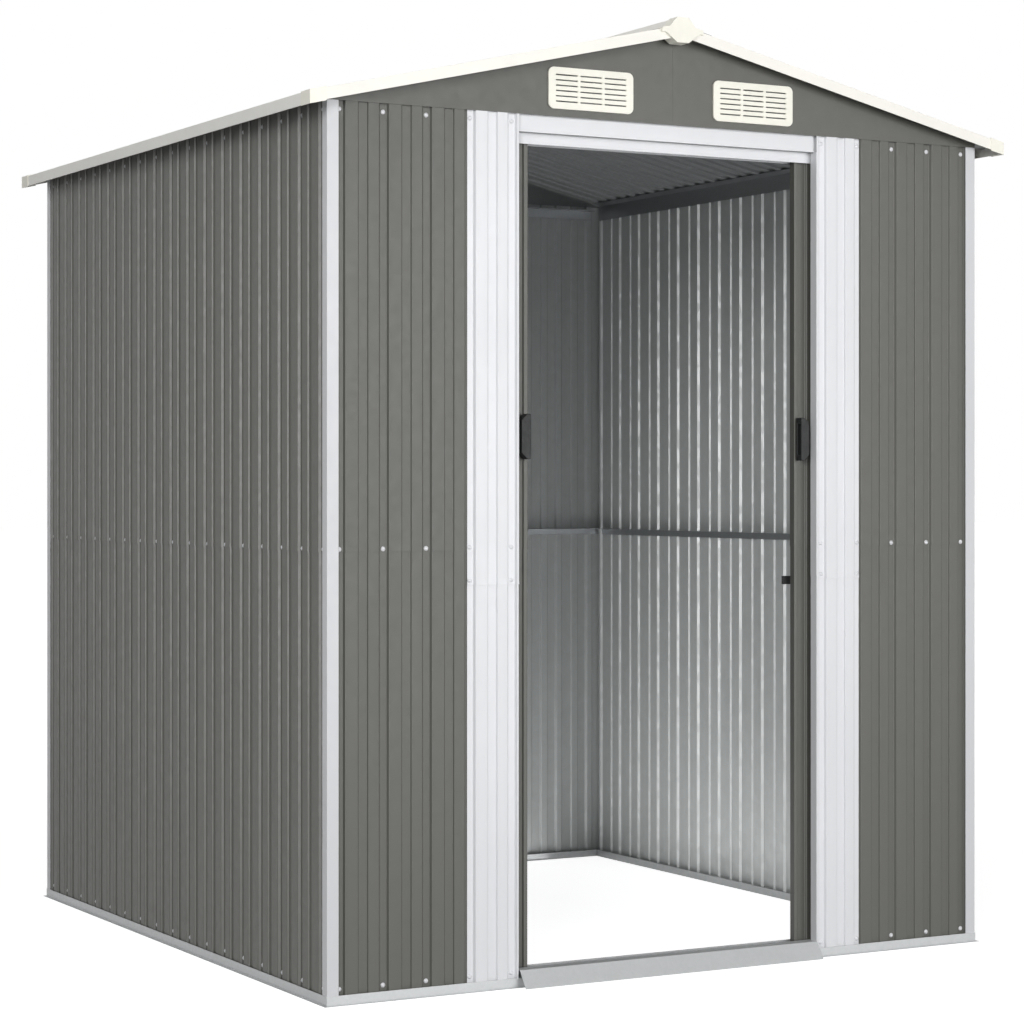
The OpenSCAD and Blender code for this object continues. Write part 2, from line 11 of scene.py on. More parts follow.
import bmesh
import bpy
import numpy as np
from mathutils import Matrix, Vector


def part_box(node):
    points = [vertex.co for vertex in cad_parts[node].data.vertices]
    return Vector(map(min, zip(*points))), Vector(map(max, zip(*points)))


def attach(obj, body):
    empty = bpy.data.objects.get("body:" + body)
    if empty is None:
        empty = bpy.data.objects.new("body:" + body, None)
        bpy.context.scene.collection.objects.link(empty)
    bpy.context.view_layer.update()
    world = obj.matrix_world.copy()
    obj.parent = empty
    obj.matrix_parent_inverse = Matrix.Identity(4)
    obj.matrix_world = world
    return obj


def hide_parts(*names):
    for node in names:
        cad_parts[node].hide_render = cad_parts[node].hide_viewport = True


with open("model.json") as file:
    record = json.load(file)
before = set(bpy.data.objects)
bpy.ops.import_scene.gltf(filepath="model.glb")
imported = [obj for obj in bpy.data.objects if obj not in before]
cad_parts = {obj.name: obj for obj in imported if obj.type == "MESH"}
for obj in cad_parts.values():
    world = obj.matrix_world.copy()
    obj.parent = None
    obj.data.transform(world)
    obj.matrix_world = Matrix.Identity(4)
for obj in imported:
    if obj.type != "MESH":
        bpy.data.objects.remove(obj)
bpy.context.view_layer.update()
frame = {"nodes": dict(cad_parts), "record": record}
nodes = frame["nodes"]
slot_of = {part["node"]: part["material_slot"] for part in frame["record"]["subparts"]}

# %% [markdown]
# ## Camera
# The photograph is taken from the front left at chest height with a long lens, and its uprights
# are upright. So the camera stays level, and its frame is shifted instead of being tilted.

# %% Camera
camera = bpy.data.objects.new("camera", bpy.data.cameras.new("camera"))
camera.location = (-3.4413, -6.2008, 1.1411)
camera.rotation_euler = (radians(90), 0, radians(-28.137))
camera.data.lens = 94.2
camera.data.sensor_width = 36
camera.data.shift_x = 0.0654
camera.data.shift_y = -0.0251
bpy.context.scene.collection.objects.link(camera)
bpy.context.scene.camera = camera
bpy.context.scene.view_settings.view_transform = "Standard"
print("camera at", tuple(round(v, 2) for v in camera.location))

# %% [markdown]
# ## Studio
# The shed stands on a white floor in soft light that comes mostly from the front, so that the side
# wall is darker than the front. The white that the camera sees is made by the Light Path node, and
# it leaves the light on the shed as it is. Shiny metal sees the same white. Near the shed the floor
# is a little less than white by itself, so that it keeps the shed's shadow.

# %% World and lamps
def seen_as_white(tree):
    """1 for rays from the camera, from gloss and through glass, 0 for the rays that light things."""
    path = tree.nodes.new("ShaderNodeLightPath")
    both = tree.nodes.new("ShaderNodeMath")
    both.operation = "MAXIMUM"
    tree.links.new(path.outputs["Is Camera Ray"], both.inputs[0])
    tree.links.new(path.outputs["Is Glossy Ray"], both.inputs[1])
    every = tree.nodes.new("ShaderNodeMath")
    every.operation = "MAXIMUM"
    tree.links.new(both.outputs[0], every.inputs[0])
    tree.links.new(path.outputs["Is Transmission Ray"], every.inputs[1])
    return every.outputs[0]


world = bpy.data.worlds.new("studio")
world.use_nodes = True
sky = world.node_tree
sky.nodes.clear()
soft_light = sky.nodes.new("ShaderNodeBackground")
soft_light.inputs["Color"].default_value = (1.0, 1.0, 1.0, 1)
soft_light.inputs["Strength"].default_value = 0.05
white_seen = sky.nodes.new("ShaderNodeBackground")
white_seen.inputs["Strength"].default_value = 1.0
white_seen.inputs["Color"].default_value = (1, 1, 1, 1)
sky_mix = sky.nodes.new("ShaderNodeMixShader")
sky.links.new(seen_as_white(sky), sky_mix.inputs["Fac"])
sky.links.new(soft_light.outputs[0], sky_mix.inputs[1])
sky.links.new(white_seen.outputs[0], sky_mix.inputs[2])
sky_out = sky.nodes.new("ShaderNodeOutputWorld")
sky.links.new(sky_mix.outputs[0], sky_out.inputs["Surface"])
bpy.context.scene.world = world


def softbox(name, place, aim, size, power):
    """A rectangular lamp at a place, turned so that its -Z axis points at the aim."""
    lamp = bpy.data.objects.new(name, bpy.data.lights.new(name, "AREA"))
    lamp.data.shape = "RECTANGLE"
    lamp.data.size = size[0]
    lamp.data.size_y = size[1]
    lamp.data.energy = power
    lamp.location = place
    way = np.array(aim, float) - np.array(place, float)
    flat = np.hypot(way[0], way[1])
    lamp.rotation_euler = (np.arctan2(flat, -way[2]), 0, np.arctan2(-way[0], way[1]))
    lamp.visible_camera = False
    bpy.context.scene.collection.objects.link(lamp)
    return lamp


softbox("front_lamp", (3.0, -8.4, 1.85), (0, -0.9, 0.9), (4.6, 3.6), 328)
softbox("side_lamp", (-5.0, -6.2, 3.4), (-0.5, -0.5, 1.0), (1.8, 2.4), 224)
softbox("left_fill", (-9.0, 1.2, 3.2), (-0.9, 0, 1.0), (5.0, 4.0), 70)
sheen_lamp = softbox("sheen_lamp", (-5.1, -6.4, 1.05), (-0.9, 0, 1.0), (1.6, 2.0), 400)
sheen_lamp.visible_diffuse = False
softbox("top_lamp", (-0.5, -1.5, 7.5), (0, -0.5, 0), (5.0, 5.0), 102)
softbox("doorway_lamp", (0.1, 0.32, 0.004), (0.1, 0.321, 2), (1.2, 1.1), 6.2)

# %% Floor
floor_mesh = bpy.data.meshes.new("floor")
floor_corners = np.array([[-1, -1, 0], [1, -1, 0], [1, 1, 0], [-1, 1, 0]]) * 60.0
floor_mesh.from_pydata(floor_corners.tolist(), [], [(0, 1, 2, 3)])
floor = bpy.data.objects.new("floor", floor_mesh)
floor.location.z = -0.0005
bpy.context.scene.collection.objects.link(floor)
floor_white = bpy.data.materials.new("floor_white")
floor_white.use_nodes = True
ground = floor_white.node_tree
ground.nodes.clear()
matt = ground.nodes.new("ShaderNodeBsdfDiffuse")
matt.inputs["Color"].default_value = (0.6, 0.6, 0.6, 1)
glow = ground.nodes.new("ShaderNodeEmission")
share = ground.nodes.new("ShaderNodeMath")
share.operation = "MULTIPLY"
away = ground.nodes.new("ShaderNodeVectorMath")
away.operation = "LENGTH"
ground.links.new(ground.nodes.new("ShaderNodeTexCoord").outputs["Object"], away.inputs[0])
whiter = ground.nodes.new("ShaderNodeMapRange")
for label, value in (("From Min", 2.2), ("From Max", 5.5), ("To Min", 0.86), ("To Max", 1.0)):
    whiter.inputs[label].default_value = value
ground.links.new(away.outputs["Value"], whiter.inputs["Value"])
ground.links.new(seen_as_white(ground), share.inputs[0])
ground.links.new(whiter.outputs["Result"], share.inputs[1])
ground.links.new(share.outputs[0], glow.inputs["Strength"])
ground_mix = ground.nodes.new("ShaderNodeAddShader")
ground.links.new(matt.outputs[0], ground_mix.inputs[0])
ground.links.new(glow.outputs[0], ground_mix.inputs[1])
ground_out = ground.nodes.new("ShaderNodeOutputMaterial")
ground.links.new(ground_mix.outputs[0], ground_out.inputs["Surface"])
floor_mesh.materials.append(floor_white)
print("floor of", floor_corners[2, 0] * 2, "m")

# %% [markdown]
# ## Finishes shared by several materials
# Coated sheet is never quite flat in tone: the coat has a fine orange peel, and the rolled steel
# under it gives faint bands along its length. Galvanised steel shows crystals of zinc, the
# spangle. Moulded plastic has a spark-eroded grain. Each of these is one node group, built once,
# with its own values in each material.

# %% Group helpers
def new_group(name, inputs, outputs):
    """An empty shader node group with named sockets, and its two end nodes."""
    group = bpy.data.node_groups.new(name, "ShaderNodeTree")
    for label, kind, value in inputs:
        socket = group.interface.new_socket(label, in_out="INPUT", socket_type=kind)
        socket.default_value = value
    for label, kind in outputs:
        group.interface.new_socket(label, in_out="OUTPUT", socket_type=kind)
    return group, group.nodes.new("NodeGroupInput"), group.nodes.new("NodeGroupOutput")


def noise(tree, vector, scale, detail, rough=0.5):
    """Noise of so many bumps a metre on the given coordinates."""
    node = tree.nodes.new("ShaderNodeTexNoise")
    node.inputs["Scale"].default_value = scale
    node.inputs["Detail"].default_value = detail
    node.inputs["Roughness"].default_value = rough
    tree.links.new(vector, node.inputs["Vector"])
    return node.outputs["Fac"]


def spread(tree, value, low, high):
    """The noise between 0.3 and 0.7 stretched from low to high, which are numbers or sockets."""
    node = tree.nodes.new("ShaderNodeMapRange")
    node.inputs["From Min"].default_value = 0.3
    node.inputs["From Max"].default_value = 0.7
    tree.links.new(value, node.inputs["Value"])
    for label, end in (("To Min", low), ("To Max", high)):
        if isinstance(end, float):
            node.inputs[label].default_value = end
        else:
            tree.links.new(end, node.inputs[label])
    return node.outputs["Result"]


def combine(tree, operation, first, second):
    """One sum or product of two sockets, or of a socket and a number."""
    node = tree.nodes.new("ShaderNodeMath")
    node.operation = operation
    for place, item in enumerate((first, second)):
        if isinstance(item, float):
            node.inputs[place].default_value = item
        else:
            tree.links.new(item, node.inputs[place])
    return node.outputs[0]


def toned(tree, colour, tone):
    """A colour times a tone, by a vector product."""
    node = tree.nodes.new("ShaderNodeVectorMath")
    node.operation = "SCALE"
    tree.links.new(colour, node.inputs[0])
    tree.links.new(tone, node.inputs["Scale"])
    return node.outputs[0]


print("group helpers ready")

# %% Coated sheet
coat_sockets = [
    ("Colour", "NodeSocketColor", (0.2, 0.2, 0.2, 1)),
    ("Tone Low", "NodeSocketFloat", 0.95),
    ("Tone High", "NodeSocketFloat", 1.05),
    ("Smooth", "NodeSocketFloat", 0.34),
    ("Rough", "NodeSocketFloat", 0.46),
]
looks = [
    ("Colour", "NodeSocketColor"),
    ("Roughness", "NodeSocketFloat"),
    ("Height", "NodeSocketFloat"),
]
coat, coat_in, coat_out = new_group("coated_sheet", coat_sockets, looks)
coat_place = coat.nodes.new("ShaderNodeTexCoord").outputs["Object"]
banded = coat.nodes.new("ShaderNodeMapping")
banded.inputs["Scale"].default_value = (1.0, 1.0, 0.12)
coat.links.new(coat_place, banded.inputs["Vector"])
bands = spread(coat, noise(coat, banded.outputs[0], 14.0, 3.0), coat_in.outputs["Tone Low"],
               coat_in.outputs["Tone High"])
cloud = spread(coat, noise(coat, coat_place, 2.2, 4.0), 0.975, 1.02)
fleck = spread(coat, noise(coat, coat_place, 900.0, 2.0), 0.985, 1.015)
coat_tone = combine(coat, "MULTIPLY", combine(coat, "MULTIPLY", bands, cloud), fleck)
coat.links.new(toned(coat, coat_in.outputs["Colour"], coat_tone), coat_out.inputs["Colour"])
coat_sheen = spread(coat, noise(coat, coat_place, 55.0, 4.0), coat_in.outputs["Smooth"],
                    coat_in.outputs["Rough"])
coat.links.new(coat_sheen, coat_out.inputs["Roughness"])
peel = noise(coat, coat_place, 420.0, 2.0)
waviness = noise(coat, coat_place, 9.0, 2.0)
coat_height = combine(coat, "ADD", peel, combine(coat, "MULTIPLY", waviness, 6.0))
coat.links.new(coat_height, coat_out.inputs["Height"])
print("group", coat.name, "with", len(coat.nodes), "nodes")

# %% Zinc spangle
zinc_sockets = [
    ("Colour", "NodeSocketColor", (0.6, 0.6, 0.6, 1)),
    ("Crystals", "NodeSocketFloat", 110.0),
    ("Smooth", "NodeSocketFloat", 0.28),
    ("Rough", "NodeSocketFloat", 0.48),
]
zinc, zinc_in, zinc_out = new_group("zinc_spangle", zinc_sockets, looks)
zinc_place = zinc.nodes.new("ShaderNodeTexCoord").outputs["Object"]
crystals = zinc.nodes.new("ShaderNodeTexVoronoi")
crystals.inputs["Randomness"].default_value = 1.0
zinc.links.new(zinc_place, crystals.inputs["Vector"])
zinc.links.new(zinc_in.outputs["Crystals"], crystals.inputs["Scale"])
shade = zinc.nodes.new("ShaderNodeSeparateColor")
zinc.links.new(crystals.outputs["Color"], shade.inputs[0])
facet = spread(zinc, shade.outputs[0], 0.985, 1.01)
frost = spread(zinc, noise(zinc, zinc_place, 30.0, 5.0), 0.98, 1.01)
zinc_tone = combine(zinc, "MULTIPLY", facet, frost)
zinc.links.new(toned(zinc, zinc_in.outputs["Colour"], zinc_tone), zinc_out.inputs["Colour"])
zinc_sheen = spread(zinc, shade.outputs[1], zinc_in.outputs["Smooth"], zinc_in.outputs["Rough"])
zinc.links.new(zinc_sheen, zinc_out.inputs["Roughness"])
scuff = noise(zinc, zinc_place, 600.0, 3.0)
zinc.links.new(combine(zinc, "ADD", scuff, shade.outputs[2]), zinc_out.inputs["Height"])
print("group", zinc.name, "with", len(zinc.nodes), "nodes")

# %% Moulded grain
grain_sockets = [
    ("Colour", "NodeSocketColor", (0.9, 0.9, 0.8, 1)),
    ("Smooth", "NodeSocketFloat", 0.4),
    ("Rough", "NodeSocketFloat", 0.55),
]
grain, grain_in, grain_out = new_group("moulded_grain", grain_sockets, looks)
grain_place = grain.nodes.new("ShaderNodeTexCoord").outputs["Object"]
pits = noise(grain, grain_place, 1600.0, 2.0)
flow = spread(grain, noise(grain, grain_place, 18.0, 3.0), 0.965, 1.025)
grain.links.new(toned(grain, grain_in.outputs["Colour"], flow), grain_out.inputs["Colour"])
grain_sheen = spread(grain, noise(grain, grain_place, 140.0, 3.0), grain_in.outputs["Smooth"],
                     grain_in.outputs["Rough"])
grain.links.new(grain_sheen, grain_out.inputs["Roughness"])
grain.links.new(pits, grain_out.inputs["Height"])
print("group", grain.name, "with", len(grain.nodes), "nodes")

# %% [markdown]
# ## Materials
# The underside of the roof is bare too, in a darker copy of that finish, which is painted shade.
# Each slot of the record has a finish: grey, white and cream coats on steel, bare galvanised
# steel, cream plastic for vents and caps, and black plastic for the handles. Posts, eave trims
# and inner rails have a shade of their own, and the inner faces of the coated sheets are bare, as
# the photograph shows through the doorway. A finish could be painted on an image, but nodes on
# Object coordinates need no unwrapping and keep their scale on every piece.

# %% Materials
def srgb(red, green, blue):
    """A screen colour of 0 to 255 as linear light: ((c + 0.055) / 1.055) ** 2.4 above 0.04."""
    c = np.array([red, green, blue]) / 255.0
    linear = np.where(c > 0.04045, ((c + 0.055) / 1.055) ** 2.4, c / 12.92)
    return (*linear.tolist(), 1.0)


def finish(name, group, values, height, metallic=0.0, specular=0.5):
    """A material whose Base Color, Roughness and Bump come from one of the groups."""
    made = bpy.data.materials.new(name)
    made.use_nodes = True
    tree = made.node_tree
    shader = tree.nodes["Principled BSDF"]
    shader.inputs["Metallic"].default_value = metallic
    shader.inputs["Specular IOR Level"].default_value = specular
    look = tree.nodes.new("ShaderNodeGroup")
    look.node_tree = group
    for label, value in values.items():
        look.inputs[label].default_value = value
    bump = tree.nodes.new("ShaderNodeBump")
    bump.inputs["Strength"].default_value = 0.25
    bump.inputs["Distance"].default_value = height
    tree.links.new(look.outputs["Colour"], shader.inputs["Base Color"])
    tree.links.new(look.outputs["Roughness"], shader.inputs["Roughness"])
    tree.links.new(look.outputs["Height"], bump.inputs["Height"])
    tree.links.new(bump.outputs["Normal"], shader.inputs["Normal"])
    return made


finishes = {
    "grey_paint": finish("grey_coat", coat, {
        "Colour": srgb(84, 84, 79), "Tone Low": 0.97, "Tone High": 1.03,
        "Smooth": 0.45, "Rough": 0.53}, 0.0001),
    "white_paint": finish("white_coat", coat, {
        "Colour": srgb(228, 229, 232), "Tone Low": 0.985, "Tone High": 1.01,
        "Smooth": 0.32, "Rough": 0.44}, 0.0001),
    "cream_paint": finish("cream_coat", coat, {
        "Colour": srgb(250, 248, 240), "Tone Low": 0.985, "Tone High": 1.01,
        "Smooth": 0.34, "Rough": 0.46}, 0.0001),
    "galvanised_steel": finish("zinc_sheet", zinc, {
        "Colour": srgb(184, 186, 187), "Crystals": 150.0, "Smooth": 0.44, "Rough": 0.54}, 0.00004,
        metallic=0.4),
    "cream_plastic": finish("cream_moulding", grain, {
        "Colour": srgb(252, 250, 238), "Smooth": 0.38, "Rough": 0.52}, 0.00006),
    "black_plastic": finish("black_moulding", grain, {
        "Colour": srgb(28, 29, 30), "Smooth": 0.46, "Rough": 0.62}, 0.00008, specular=0.3),
}
post_coat = finish("post_coat", coat, {
    "Colour": srgb(213, 214, 217), "Tone Low": 0.985, "Tone High": 1.01,
    "Smooth": 0.34, "Rough": 0.46}, 0.0001)
sheet_back = finish("bare_sheet_back", zinc, {
    "Colour": srgb(186, 188, 188), "Crystals": 45.0, "Smooth": 0.42, "Rough": 0.56}, 0.00006,
    metallic=0.3)
# A darker copy of the bare sheet back: painted shade on the underside of the roof and the ridge cap,
# on the gables' inner faces and on the head track's lower faces.
back_in_painted_shade = finish("bare_back_painted_shade", zinc, {
    "Colour": srgb(140, 142, 143), "Crystals": 45.0, "Smooth": 0.42, "Rough": 0.56}, 0.00006,
    metallic=0.3)
rail_zinc = finish("rail_zinc", zinc, {
    "Colour": srgb(166, 168, 170), "Crystals": 150.0, "Smooth": 0.32, "Rough": 0.38}, 0.00002,
    metallic=1.0)
eave_coat = finish("eave_coat", coat, {
    "Colour": srgb(249, 248, 242), "Tone Low": 0.985, "Tone High": 1.01,
    "Smooth": 0.34, "Rough": 0.46}, 0.0001)
own = {node: post_coat for node in slot_of if node.endswith("_post")}
own.update({node: eave_coat for node in slot_of if node.endswith("_eave_trims")})
own.update({node: rail_zinc for node in slot_of if node.endswith(("mid_rail", "top_rail", "beam"))})
for node, slot in slot_of.items():
    nodes[node].data.materials.clear()
    nodes[node].data.materials.append(own.get(node, finishes[slot]))
print("finishes:", sorted(finishes))

# %% [markdown]
# ## Folded sheets
# The walls, front panels, door jambs, doors and roof slopes are thin steel, rolled with a wide
# groove and a shallow step in turn. The solids have sharp bends. A real roller leaves a radius at
# every bend, and its soft highlight is most of what the eye reads as folded metal. A Bevel would
# round thin plates unevenly, so each sheet is made again: its outline is a line of corners, every
# corner is rounded, and the line is carried up the wall with its thickness. The foot of an upper
# sheet stands off by less than a millimetre, so its lap over the lower sheet casts a fine line.

# %% Lines with rounded corners
RIB_PITCH = 0.108
GROOVE_DEEP = 0.007
GROOVE = np.array([[-0.01275, 0], [-0.0085, GROOVE_DEEP], [0.0085, GROOVE_DEEP], [0.01275, 0]])
STEP = np.array([[0.0435, 0], [0.046, 0.0048], [0.067, 0.0048], [0.0695, 0]])
PHASE = {"front": -0.0025, "right": 0.027, "back": 0.007, "left": 0.0}
SHEET = 0.00045
FLARE_RUN = 0.010
FLARE_HOLD = 0.014


def ribbed_line(start, stop, place, depth, turned=1):
    """Corners (place, depth) of the ribbed outline from start to stop.

    A wide groove and a shallower step repeat every rib pitch. A sheet that is turned (-1) has its
    steps on the other side of its grooves. The ends are cut from the same outline by linear
    interpolation.
    """
    rib = np.concatenate([GROOVE, STEP]) * [turned, 1]
    rib = rib[np.argsort(rib[:, 0])]
    steps = np.arange(np.floor((start - place) / RIB_PITCH) - 2,
                      np.ceil((stop - place) / RIB_PITCH) + 3)
    along = (place + steps[:, None] * RIB_PITCH + rib[:, 0]).ravel()
    down = np.tile(rib[:, 1], len(steps))
    inside = (along > start + 0.0004) & (along < stop - 0.0004)
    ends = np.interp([start, stop], along, down)
    along = np.concatenate([[start], along[inside], [stop]])
    down = np.concatenate([ends[:1], down[inside], ends[1:]])
    return np.stack([along, down + depth], axis=1)


def rounded_line(corners, radius, steps=4):
    """The line with each inner corner P rounded.

    The curve is (1 - t)^2 A + 2 t (1 - t) P + t^2 B, with A and B set back from P along the two
    sides by radius times the tangent of half the turn, at most 0.42 of the shorter side. One more
    point stands just outside each end of a curve, so that the flats stay flat in shading.
    """
    corners = np.asarray(corners, float)
    side = np.diff(corners, axis=0)
    length = np.linalg.norm(side, axis=1)
    way = side / length[:, None]
    turn = np.arccos(np.clip((way[:-1] * way[1:]).sum(1), -1, 1))
    back = np.minimum(radius * np.tan(turn / 2), 0.42 * np.minimum(length[:-1], length[1:]))
    hold = back + np.minimum(0.0005, 0.07 * np.minimum(length[:-1], length[1:]))
    point = corners[1:-1]
    t = np.linspace(0, 1, steps + 1)[None, :, None]
    a = (point - back[:, None] * way[:-1])[:, None]
    b = (point + back[:, None] * way[1:])[:, None]
    curve = (1 - t) ** 2 * a + 2 * t * (1 - t) * point[:, None] + t ** 2 * b
    before = (point - hold[:, None] * way[:-1])[:, None]
    after = (point + hold[:, None] * way[1:])[:, None]
    curve = np.concatenate([before, curve, after], axis=1).reshape(-1, 2)
    return np.concatenate([corners[:1], curve, corners[-1:]])


sample = rounded_line(ribbed_line(-0.2, 0.2, 0, 0), 0.002)
print("a ribbed line of 0.4 m has", len(sample), "points")

# %% Sheets from lines
def other_face(line, thickness):
    """The line moved sideways by the thickness, along the mean normal of the sides at each point."""
    way = np.gradient(line, axis=0)
    way /= np.linalg.norm(way, axis=1)[:, None]
    return line + thickness * np.stack([-way[:, 1], way[:, 0]], axis=1)


def sheet_shell(line, ends, where, flare=0.0):
    """Points and quads of a sheet: the closed ring of a line and its other face, at both ends.

    Ring point i of end r is where(place, depth, ends[r]). Quads join the rings, and close each end
    between the line and its other face. With a flare the foot stands out by that much, and comes
    back to the line within FLARE_RUN; one more ring keeps the rest flat in shading.
    """
    if flare:
        ends = (ends[0], ends[0] + FLARE_RUN, ends[0] + FLARE_HOLD, ends[1])
    lifts = np.zeros(len(ends))
    lifts[0] = flare
    ring = np.concatenate([line, other_face(line, SHEET)[::-1]])
    count = len(line)
    size = len(ring)
    rings = [where(ring[:, 0], ring[:, 1] - lift, np.full(size, end))
             for end, lift in zip(ends, lifts)]
    points = np.concatenate([np.stack(r, axis=1) for r in rings])
    i = np.arange(size)
    j = (i + 1) % size
    level = np.arange(len(ends) - 1) * size
    sides = (np.stack([i, j, j + size, i + size], axis=1) + level[:, None, None]).reshape(-1, 4)
    k = np.arange(count - 1)
    cap = np.stack([k + 1, k, size - 1 - k, size - 2 - k], axis=1)
    quads = np.concatenate([sides, cap, cap[:, ::-1] + level[-1] + size])
    corner = (points - points.mean(0))[quads]
    volume = (corner[:, 0] * np.cross(corner[:, 1], corner[:, 2])).sum()
    volume += (corner[:, 0] * np.cross(corner[:, 2], corner[:, 3])).sum()
    bare = np.concatenate([np.tile(i >= count - 1, len(level)), np.ones(2 * len(cap), bool)])
    return points, quads if volume > 0 else quads[:, ::-1], bare


def put_piece(name, shells, slot, body, smooth=35, back=None):
    """One object at the origin from shells of points, faces and a mark on the faces left bare."""
    starts = np.cumsum([0] + [len(points) for points, *_ in shells])
    faces = [(face + start).tolist() for (_, face, _), start in zip(shells, starts)]
    mesh = bpy.data.meshes.new(name)
    mesh.from_pydata(np.concatenate([p for p, *_ in shells]).tolist(), [], sum(faces, []))
    mesh.polygons.foreach_set("use_smooth", np.ones(len(mesh.polygons), bool))
    mesh.set_sharp_from_angle(angle=radians(smooth))
    bare = np.concatenate([mark for *_, mark in shells])
    mesh.materials.append(finishes[slot])
    if bare.any():
        mesh.materials.append(back or sheet_back)
        mesh.polygons.foreach_set("material_index", bare.astype(np.int32))
    piece = bpy.data.objects.new(name, mesh)
    bpy.context.scene.collection.objects.link(piece)
    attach(piece, body)
    return piece


WALLS = {
    "front": lambda s, d, z: (s, d - 0.9, z),
    "right": lambda s, d, z: (0.9 - d, s, z),
    "back": lambda s, d, z: (-s, 0.9 - d, z),
    "left": lambda s, d, z: (d - 0.9, -s, z),
}
print("walls:", list(WALLS))

# %% Walls and front panels
UPPER = 0.0013
LOWER = 0.00195
BEND = 0.0022
WALL_FLARE = 0.0007
JAMB_FLARE = 0.001


def sheet_piece(node, wall, span, depth):
    """A plain ribbed sheet in the place of a solid; an upper one stands off a little at its lap."""
    low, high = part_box(node)
    turned = 1 if wall == "front" else -1
    line = rounded_line(ribbed_line(*span, PHASE[wall], depth, turned), BEND)
    flare = WALL_FLARE if depth == UPPER else 0.0
    shell = sheet_shell(line, (low.z, high.z), WALLS[wall], flare)
    piece = put_piece(node + "_folded", [shell], slot_of[node], "shed")
    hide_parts(node)
    return piece


SIDE_HALF = 0.89035
FRONT_HALF = 0.89875
PANEL_IN = 0.535
made = []
for level, depth in (("lower", LOWER), ("upper", UPPER)):
    for wall, half in (("left", SIDE_HALF), ("right", SIDE_HALF), ("back", FRONT_HALF)):
        made.append(sheet_piece(f"{wall}_wall_{level}", wall, (-half, half), depth))
    for hand, span in (("left", (-FRONT_HALF, -PANEL_IN)), ("right", (PANEL_IN, FRONT_HALF))):
        made.append(sheet_piece(f"front_{hand}_panel_{level}", "front", span, depth))
print(len(made), "sheets,", sum(len(p.data.polygons) for p in made), "faces")

# %% [markdown]
# ## Door jambs
# Beside the doorway stand two white sheets. They are ribbed like the walls, and their inner edge
# is folded back into the doorway. The fold stops under the head track, while the face goes on up
# behind the gable, so each jamb is two shells that meet at the height of the track.

# %% Door jambs
OPENING = 0.4145
JAMB_EDGE = 0.546
RETURN = 0.025
TRACK_WEB = 1.951


def jamb_lines(hand, depth):
    """The jamb's outline with its fold into the doorway, and the same without it."""
    edge = OPENING + depth
    if hand == "right":
        face = ribbed_line(edge, JAMB_EDGE, 0, depth)
        folded = np.concatenate([[[edge, RETURN]], face])
    else:
        face = ribbed_line(-JAMB_EDGE, -edge, 0, depth)
        folded = np.concatenate([face, [[-edge, RETURN]]])
    return folded, face


for hand in ("left", "right"):
    for level, depth in (("lower", 0.00065), ("upper", 0.0)):
        node = f"{hand}_jamb_{level}"
        low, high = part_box(node)
        folded, face = jamb_lines(hand, depth)
        stop = min(high.z, TRACK_WEB - 0.0001)
        flare = JAMB_FLARE if level == "upper" else 0.0
        shells = [sheet_shell(rounded_line(folded, BEND), (low.z, stop), WALLS["front"], flare)]
        if high.z > stop:
            shells.append(sheet_shell(rounded_line(face, BEND), (stop, high.z), WALLS["front"]))
        put_piece(node + "_folded", shells, slot_of[node], "shed")
        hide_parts(node)

# %% [markdown]
# ## Doors
# Each door is two lapped sheets. Both long edges are folded back and then inwards to a lip, which
# makes a thin sheet stiff enough to slide. The outline runs from lip to lip round the front, and
# the left door is the mirror of the right one.

# %% Doors
DOOR_IN = 0.3725
DOOR_WIDE = 0.4415
DOOR_FRONT = 0.03345
DOOR_REAR = 0.05345
DOOR_LIP = 0.012
DOOR_PHASE = 0.075
LAYER = 0.00065
LAP = 1.002
LAP_UP = 0.012
LAP_DOWN = 0.006


def door_line(inset):
    """Outline of a door sheet: lip, fold, ribbed front, fold, lip."""
    left = DOOR_IN + inset
    right = DOOR_IN + DOOR_WIDE - inset
    front = DOOR_FRONT + inset
    rear = DOOR_REAR - inset
    ribs = ribbed_line(left, right, DOOR_IN + DOOR_PHASE, front)
    return np.concatenate([
        [[left + DOOR_LIP, rear], [left, rear]], ribs,
        [[right, rear], [right - DOOR_LIP, rear]]])


for hand, way in (("left", -1), ("right", 1)):
    node = hand + "_door"
    low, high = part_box(node)
    spans = ((LAYER, (low.z, LAP + LAP_UP)), (0.0, (LAP - LAP_DOWN, high.z)))
    at = lambda s, d, z, way=way: (way * s, d - 0.9, z)
    shells = [sheet_shell(rounded_line(door_line(inset), BEND), span, at) for inset, span in spans]
    door = put_piece(node + "_folded", shells, slot_of[node], node)
    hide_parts(node)
    print(door.name, len(door.data.polygons), "faces")

# %% [markdown]
# ## Roof slopes
# The roof sheets have the wall profile, and their grooves run down the slope. The outline is the
# same line, with its depth measured down from the top of the slope.

# %% Roof slopes
PITCH = radians(12.85)
ROOF_HIGH = 0.0076
roof_low, roof_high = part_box("right_roof")
ROOF_REACH = roof_high.y
EAVE = (0.9 + 0.055) / np.cos(PITCH)
RIDGE = 0.008
RIDGE_Z = roof_low.z + EAVE * np.sin(PITCH)


def on_slope(way):
    """Place on a slope: across the shed, depth under the roof's face and distance from the ridge."""
    def at(s, d, u):
        up = ROOF_HIGH - d
        x = way * (u * np.cos(PITCH) + up * np.sin(PITCH))
        return x, s + 0 * u, RIDGE_Z - u * np.sin(PITCH) + up * np.cos(PITCH)
    return at


for hand, way in (("left", -1), ("right", 1)):
    line = rounded_line(ribbed_line(-ROOF_REACH, ROOF_REACH, 0, 0), BEND)
    slope = put_piece(f"{hand}_roof_folded", [sheet_shell(line, (RIDGE, EAVE), on_slope(way))],
                      "grey_paint", "shed", back=back_in_painted_shade)
    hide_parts(f"{hand}_roof")
print("roof from", round(RIDGE_Z, 4), "m down by", round(EAVE, 4), "m of slope")

# %% [markdown]
# ## Ridge cap
# A folded strip covers the gap between the slopes. Its outline is read from its own solid, and is
# carried along the ridge like any other sheet. In the photograph the sky above the left verge is
# white where a grey cap would show, so the cap is pale like the verges.

